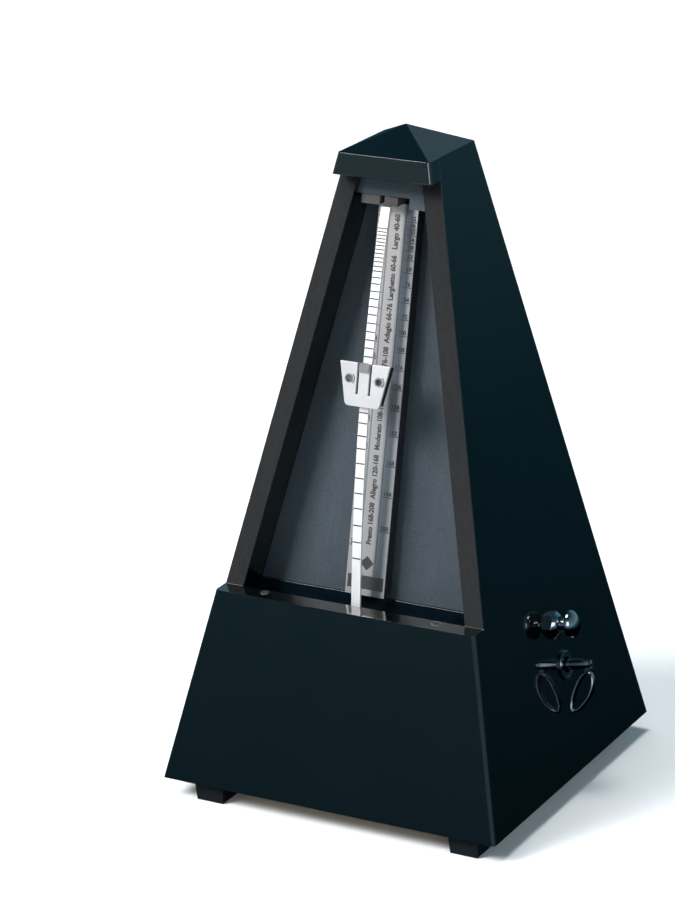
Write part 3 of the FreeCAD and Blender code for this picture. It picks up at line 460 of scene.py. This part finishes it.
# ------------------------------------------------------------------ tempo scale
MARKS = (40, 42, 44, 46, 48, 50, 52, 54, 56, 58, 60, 63, 66, 69, 72, 76, 80, 84, 88, 92, 96, 100, 104, 108, 112,
         116, 120, 126, 132, 138, 144, 152, 160, 168, 176, 184, 192, 200, 208)
RIGHT_HEIGHTS = (183.7, 181.6, 179.5, 177.1, 174.6, 171.7, 167.8, 163.2, 158.3, 153.0, 147.9, 142.6, 137.0, 130.9,
                 124.3, 116.1, 106.6, 96.7, 85.6)
mark_height = {mark: z * MM for mark, z in zip(MARKS[1::2], RIGHT_HEIGHTS)}
for before, mark, after in zip(MARKS[1:], MARKS[2:], MARKS[3:]):
    if mark not in mark_height:
        mark_height[mark] = (mark_height[before] + mark_height[after]) / 2
mark_height[40] = mark_height[42] + 1.05 * MM
mark_height[208] = mark_height[200] - 5.4 * MM

INK_DEPTH = 0.03 * MM
up_scale = Vector((0, sin(lean), cos(lean)))
out_scale = Vector((0, -cos(lean), sin(lean)))


def scale_place(x, z, turn=0.0):
    """On the scale's face at a height: X across, Y up it, Z out; turned within the face."""
    right = Vector((1, 0, 0))
    x_axis = right * cos(turn) + up_scale * sin(turn)
    y_axis = up_scale * cos(turn) - right * sin(turn)
    return axes(Vector((x, edge_at(z) + scale_face, z)), x_axis, y_axis, out_scale)


def lettering(bm, words, height, place, align="CENTER", length=0.0):
    """Flat words as a thin raised print, added to the mesh in their place."""
    curve = bpy.data.curves.new("words", "FONT")
    curve.body = words
    curve.size = height / 0.72
    curve.align_x = align
    curve.extrude = INK_DEPTH / 2
    curve.offset = 0.06 * height
    curve.resolution_u = 3
    holder = bpy.data.objects.new("words", curve)
    scene.collection.objects.link(holder)
    mesh = bpy.data.meshes.new_from_object(holder.evaluated_get(bpy.context.evaluated_depsgraph_get()))
    if length:
        ends = [vertex.co.x for vertex in mesh.vertices]
        mesh.transform(Matrix.Diagonal((length / (max(ends) - min(ends)), 1, 1, 1)))
    mesh.transform(place)
    bm.from_mesh(mesh)
    bpy.data.objects.remove(holder)
    bpy.data.meshes.remove(mesh)


def stroke(bm, x0, x1, z, width=0.28 * MM):
    made = block(bm, (x0, -width / 2, -INK_DEPTH / 2), (x1, width / 2, INK_DEPTH / 2))
    bmesh.ops.transform(bm, matrix=scale_place(0, z), verts=made)


print_bm = bmesh.new()
for mark in MARKS[1::2]:
    stroke(print_bm, 3.3 * MM, scale_half - 0.1 * MM, mark_height[mark])
    lettering(print_bm, str(mark), 1.45 * MM, scale_place(scale_half - 0.5 * MM, mark_height[mark] + 0.45 * MM),
              "RIGHT")
for mark in MARKS[0::2]:
    stroke(print_bm, -scale_half + 0.1 * MM, -3.3 * MM, mark_height[mark])
    lettering(print_bm, str(mark), 1.45 * MM, scale_place(-scale_half + 0.5 * MM, mark_height[mark] + 0.45 * MM),
              "LEFT")
TEMPI = (("Largo 40-60", 174.6, 185.6), ("Larghetto 60-66", 158.6, 172.7), ("Adagio 66-76", 145.1, 157.7),
         ("Andante 76-108", 129.5, 144.0), ("Moderato 108-120", 111.2, 127.0), ("Allegro 120-168", 95.6, 109.7),
         ("Presto 168-208", 81.0, 94.4))
for words, low, high in TEMPI:
    lettering(print_bm, words, 1.8 * MM, scale_place(0.75 * MM, (low + high) / 2 * MM, pi / 2),
              length=(high - low) * MM / cos(lean))
band = block(print_bm, (-scale_half + 0.6 * MM, -2.2 * MM, -INK_DEPTH / 2),
             (scale_half - 0.6 * MM, 2.2 * MM, INK_DEPTH / 2))
bmesh.ops.transform(print_bm, matrix=scale_place(0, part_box("tempo_scale")[0][2] + 4.2 * MM), verts=band)
lozenge = bmesh.ops.create_circle(print_bm, cap_ends=True, segments=4, radius=2.4 * MM)["verts"]
raised = bmesh.ops.extrude_face_region(print_bm, geom=[lozenge[0].link_faces[0]])["geom"]
raised = [v for v in raised if isinstance(v, bmesh.types.BMVert)]
bmesh.ops.translate(print_bm, verts=raised, vec=(0, 0, INK_DEPTH / 2))
bmesh.ops.transform(print_bm, matrix=scale_place(0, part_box("tempo_scale")[0][2] + 10.4 * MM),
                    verts=lozenge + raised)
finished("scale_print", print_bm, INK, "case")

# ------------------------------------------------------------------ pendulum rod
eased("pendulum_rod", 0.12 * MM, ROD, "pendulum")
rod_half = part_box("pendulum_rod")[1][0]
rod_lines = bmesh.new()
for mark in MARKS:
    z = mark_height[mark] - 1.2 * MM
    angle = asin((z - bow_centre.z) / rod_radius)
    normal = Vector((0, -cos(angle), sin(angle)))
    line = block(rod_lines, (-rod_half + 0.1 * MM, -0.2 * MM, 0.37 * MM),
                 (rod_half - 0.1 * MM, 0.2 * MM, 0.425 * MM))
    spot = bow_centre + normal * rod_radius
    bmesh.ops.transform(rod_lines, verts=line,
                        matrix=axes(spot, Vector((1, 0, 0)), Vector((0, sin(angle), cos(angle))), normal))
finished("rod_marks", rod_lines, INK, "pendulum")

# ------------------------------------------------------------------ sliding weight
eased("weight_plate", 0.22 * MM, WEIGHT, "weight", 3)
eased("weight_body", 0.3 * MM, WEIGHT_DARK, "weight")
plate_front = 2.2 * MM

# Painted shade: a dark crescent on the right side of each rivet hole stands for the shade inside the dimple.
dimple_shade = bmesh.new()
for sign in (-1, 1):
    ring = bmesh.ops.create_circle(dimple_shade, segments=8, radius=0.16 * MM,
                                   matrix=Matrix.Translation((1.95 * MM, 0, 0)) @ Matrix.Rotation(pi / 2, 4, "X"))
    edges = list({e for v in ring["verts"] for e in v.link_edges})
    before = set(dimple_shade.verts) - set(ring["verts"])
    bmesh.ops.rotate(dimple_shade, verts=ring["verts"], cent=(0, 0, 0), matrix=Matrix.Rotation(-0.85, 3, "Z"))
    bmesh.ops.spin(dimple_shade, geom=ring["verts"] + edges, cent=(0, 0, 0), axis=(0, 0, 1), angle=1.7, steps=14)
    mine = [v for v in dimple_shade.verts if v not in before]
    bmesh.ops.translate(dimple_shade, verts=mine, vec=(sign * 5.25 * MM, 1.7 * MM, plate_front))
bmesh.ops.holes_fill(dimple_shade, edges=[e for e in dimple_shade.edges if e.is_boundary], sides=12)
finished("weight_dimple_shade", dimple_shade, WEIGHT_DARK, "weight", place=weight_place)

pad_low, pad_high = 4.2 * MM, 7.0 * MM
pad = bmesh.new()
bmesh.ops.create_grid(pad, x_segments=22, y_segments=18, size=0.5)
for vertex in pad.verts:
    x, y = vertex.co.x, vertex.co.y
    arch = (1 - (2 * x) ** 2) * max(0.0, y) * 0.55 * MM
    ridge = 0.12 * MM if (round((x + 0.5) * 22) + round((y + 0.5) * 18)) % 2 else 0.0
    vertex.co = Vector((x * 3.6 * MM, y * (pad_high - pad_low) + arch, 0.42 * MM + ridge))
rim = [e for e in pad.edges if e.is_boundary]
skirt = bmesh.ops.extrude_edge_only(pad, edges=rim)["geom"]
for vertex in [v for v in skirt if isinstance(v, bmesh.types.BMVert)]:
    vertex.co.z = -0.02 * MM
bmesh.ops.holes_fill(pad, edges=[e for e in pad.edges if e.is_boundary], sides=200)
pad_place = weight_place @ Matrix.Translation((0, (pad_low + pad_high) / 2, plate_front))
finished("knurled_pad", pad, PAD, "weight", ("weight_thumb_pad",), pad_place, 20)

# ------------------------------------------------------------------ winding key
eyelet = turned([(3.7, 0.2), (3.8, 0.5), (4.1, 0.8), (4.4, 0.8), (4.7, 0.5), (4.8, 0.2), (4.8, 0.0), (3.6, 0.0),
                 (3.7, 0.2)])
finished("key_ring", eyelet, CHROME, "case", place=key_place)
carried(("key_eyelet",), CHROME)
eased("key_stem", 0.15 * MM, CHROME, "winding")

leaf = bmesh.new()
outline = [(9.7, 2.3), (10.9, 4.8), (10.5, 8.6), (8.6, 12.2), (5.6, 15.2), (3.0, 16.3), (1.5, 15.2), (1.7, 11.9),
           (3.0, 8.2), (5.0, 4.6), (7.2, 2.5)]
count = len(outline)
rings = [[], [], [], []]
for k, (a, b) in enumerate(outline):
    before, after = Vector(outline[k - 1]), Vector(outline[(k + 1) % count])
    inward = Vector((before.y - after.y, after.x - before.x)).normalized() * 1.15
    for ring, (shift, height) in zip(rings, ((0, -1.3), (0, 1.3), (1, 1.3), (1, -1.3))):
        ring.append(leaf.verts.new(((a + inward.x * shift) * MM, (b + inward.y * shift) * MM, height * MM)))
for ring, beside in zip(rings, rings[1:] + rings[:1]):
    for k in range(count):
        leaf.faces.new((ring[k - 1], ring[k], beside[k], beside[k - 1]))
bow = finished("leaf_bow", leaf, CHROME, "key_bow", ("key_bow",), bow_place, 60)
smooth = bow.modifiers.new("smooth", "SUBSURF")
smooth.levels = smooth.render_levels = 3

eye = bmesh.new()
bmesh.ops.create_cone(eye, cap_ends=True, segments=32, radius1=1.25 * MM, radius2=1.25 * MM, depth=1.3 * MM)
softened(eye, 0.2 * MM, 2)
bmesh.ops.translate(eye, verts=eye.verts, vec=(8.5 * MM, 0, 0))
block(eye, (7.5 * MM, 0.2 * MM, -0.62 * MM), (9.2 * MM, 3.0 * MM, 0.62 * MM))
finished("bow_eye", eye, CHROME, "key_bow", place=bow_place)

# ------------------------------------------------------------------ bell selector
eased("selector_ferrule", 0.3 * MM, CHROME, "case", 2)
knob = turned([(0, 3.5), (1.9, 3.5), (2.0, 3.8), (1.6, 4.6), (1.7, 5.7), (2.6, 6.0), (4.2, 6.15), (4.6, 6.4),
               (4.7, 6.8), (4.66, 7.2), (4.5, 7.6), (4.1, 8.1), (3.5, 8.6), (2.7, 9.1), (1.8, 9.4), (0.9, 9.57),
               (0, 9.6)])
finished("selector_mushroom", knob, CHROME, "selector", ("selector_knob",), selector_place, 50)

# ------------------------------------------------------------------ front cover
eased("front_cover", 0.5 * MM, LACQUER, "cover", 3)
eased("cover_latch_plate", 0.15 * MM, LATCH, "cover")
eased("cover_latch_button", 0.4 * MM, LATCH, "cover_latch", 3)
eased("cover_emblem", 0.2 * MM, EMBLEM, "cover")
cover_normal = Vector((0, cos(lean), sin(lean)))
cover_up = Vector((0, -sin(lean), cos(lean)))
low, high = (Vector(corner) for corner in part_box("cover_emblem"))
emblem_half = (high.x - low.x) / 2
emblem_rise = (high.z - low.z) / 2 / cos(lean)
emblem_place = axes(middle("cover_emblem") + cover_normal * 0.5 * MM, Vector((-1, 0, 0)), cover_up, cover_normal)
lines = bmesh.new()
for inset, width in ((0.07, 0.045), (0.15, 0.02), (0.20, 0.02)):
    corners = bmesh.ops.create_circle(lines, segments=4, radius=1, cap_ends=True)["verts"]
    outer = corners[0].link_faces[0]
    bmesh.ops.scale(lines, verts=corners, vec=(emblem_half * (1 - inset), emblem_rise * (1 - inset), 1))
    bmesh.ops.inset_region(lines, faces=[outer], thickness=emblem_half * width, use_boundary=True,
                           use_even_offset=True)
    bmesh.ops.delete(lines, geom=[outer], context="FACES_ONLY")
rosette = bmesh.ops.create_circle(lines, segments=8, radius=emblem_half * 0.22, cap_ends=True)["verts"]
for vertex in rosette[::2]:
    vertex.co *= 0.45
bmesh.ops.solidify(lines, geom=lines.faces[:], thickness=-0.22 * MM)
softened(lines, 0.05 * MM, 1)
finished("emblem_lines", lines, GOLD, "cover", place=emblem_place)

# ------------------------------------------------------------------ floor, light and camera
floor_bm = bmesh.new()
bmesh.ops.create_grid(floor_bm, x_segments=1, y_segments=1, size=30)
floor_level = cad_box[0][2]
bmesh.ops.translate(floor_bm, verts=floor_bm.verts, vec=(0, 0, floor_level))
floor_mesh = bpy.data.meshes.new("floor")
floor_bm.to_mesh(floor_mesh)
floor_bm.free()
floor = bpy.data.objects.new("floor", floor_mesh)
floor_paint = Finish("floor_paint", roughness=0.9, base_color=(0.92, 0.92, 0.92))
far = (floor_paint.x * floor_paint.x + floor_paint.y * floor_paint.y).between(0.3, 2.5)
floor_paint.set("Emission Color", floor_paint.tint(far, (0.0, 0.0, 0.0), (0.35, 0.35, 0.35)))
floor_paint.set("Emission Strength", 1.0)
floor_mesh.materials.append(floor_paint.material)
scene.collection.objects.link(floor)
floor.visible_glossy = False

world = bpy.data.worlds.new("studio")
scene.world = world
world.use_nodes = True
sky = world.node_tree
sky.nodes.clear()
toward = sky.nodes.new("ShaderNodeTexCoord")
split = sky.nodes.new("ShaderNodeSeparateXYZ")
ramp = sky.nodes.new("ShaderNodeValToRGB")
shift = sky.nodes.new("ShaderNodeMapRange")
shift.inputs["From Min"].default_value = -1
seen = sky.nodes.new("ShaderNodeLightPath")
mixed = sky.nodes.new("ShaderNodeMix")
mixed.data_type = "RGBA"
back = sky.nodes.new("ShaderNodeBackground")
made = sky.nodes.new("ShaderNodeOutputWorld")
SKY = ((0.36, (0.0, 0.0, 0.0)), (0.44, (0.012, 0.05, 0.075)), (0.5, (0.06, 0.16, 0.20)), (0.53, (0.25, 0.38, 0.44)),
       (0.775, (0.12, 0.22, 0.28)), (0.92, (0.01, 0.07, 0.11)))
stops = ramp.color_ramp.elements
stops[0].position, stops[1].position = SKY[0][0], SKY[-1][0]
for position, _ in SKY[1:-1]:
    stops.new(position)
for stop, (_, colour) in zip(stops, SKY):
    stop.color = (*colour, 1)
for source, target in ((toward.outputs["Generated"], split.inputs[0]), (split.outputs["Z"], shift.inputs["Value"]),
                       (shift.outputs[0], ramp.inputs[0]), (seen.outputs["Is Camera Ray"], mixed.inputs[0]),
                       (ramp.outputs[0], mixed.inputs[6]), (mixed.outputs[2], back.inputs["Color"]),
                       (back.outputs[0], made.inputs[0])):
    sky.links.new(source, target)
mixed.inputs[7].default_value = (1, 1, 1, 1)


def softbox(name, at, look, size, power, colour=(1, 1, 1)):
    lamp = bpy.data.lights.new(name, "AREA")
    lamp.shape = "RECTANGLE"
    lamp.size, lamp.size_y = size
    lamp.energy = power
    lamp.color = colour
    holder = bpy.data.objects.new(name, lamp)
    holder.location = at
    holder.rotation_mode = "QUATERNION"
    holder.rotation_quaternion = (Vector(look) - Vector(at)).to_track_quat("-Z", "Y")
    scene.collection.objects.link(holder)


heart = (0, 0, 0.1)
softbox("key_light", (-1.1, -1.3, 1.5), heart, (0.9, 0.9), 75)
softbox("fill_light", (1.5, -1.4, 1.0), heart, (1.2, 1.0), 12, (0.92, 0.97, 1.0))
softbox("top_light", (-0.3, -0.2, 2.6), heart, (0.9, 0.9), 42)

AZIMUTH, ELEVATION, ROLL = radians(28.134), radians(18.920), radians(-0.7247)
camera_data = bpy.data.cameras.new("camera")
camera_data.sensor_fit = "HORIZONTAL"
camera_data.sensor_width = 36
camera_data.lens = 190.47
camera_data.clip_start, camera_data.clip_end = 0.05, 100
camera = bpy.data.objects.new("camera", camera_data)
scene.collection.objects.link(camera)
scene.camera = camera
away = Vector((sin(AZIMUTH) * cos(ELEVATION), -cos(AZIMUTH) * cos(ELEVATION), sin(ELEVATION)))
level = (-away).cross(Vector((0, 0, 1))).normalized()
upright = level.cross(-away)
right = level * cos(ROLL) + upright * sin(ROLL)
top = upright * cos(ROLL) - level * sin(ROLL)
camera.rotation_mode = "QUATERNION"
camera.matrix_world = axes(Vector((0.50069, -0.98516, 0.48351)), right, top, away)

scene.view_settings.view_transform = "Standard"
scene.view_settings.look = "None"

bpy.context.view_layer.update()
